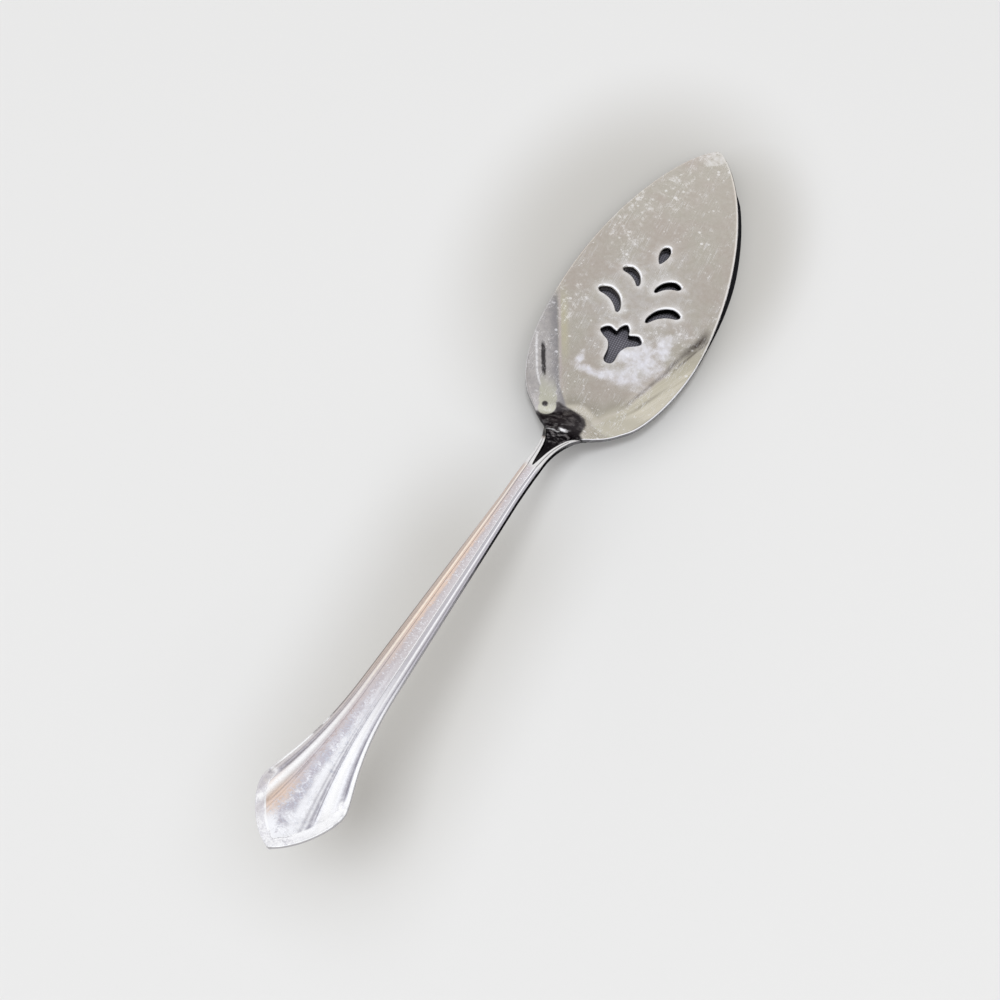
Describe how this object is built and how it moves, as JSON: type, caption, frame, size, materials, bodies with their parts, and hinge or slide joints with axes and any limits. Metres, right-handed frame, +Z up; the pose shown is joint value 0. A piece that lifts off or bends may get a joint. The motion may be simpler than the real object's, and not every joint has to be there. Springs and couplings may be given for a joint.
{
  "type": "pie server",
  "caption": "Rigid metal pie server: a leaf-shaped, pierced blade with turned-up rear sides, brazed into a raised, fluted handle that flares to a blunt point.",
  "frame": {"origin": "middle of the bounding box in plan, at the flat underside of the blade", "axes": "+Y from the handle toward the blade's tip, +Z up away from the underside, +X across the blade"},
  "size_m": [0.05, 0.2706, 0.0693],
  "materials": {
    "blade_metal": "polished plate, worn to a warm satin with fine scratches",
    "handle_metal": "polished plate with darkened grooves"
  },
  "bodies": {
    "root": {"blade": "blade_metal", "handle": "handle_metal"}
  },
  "joints": []
}
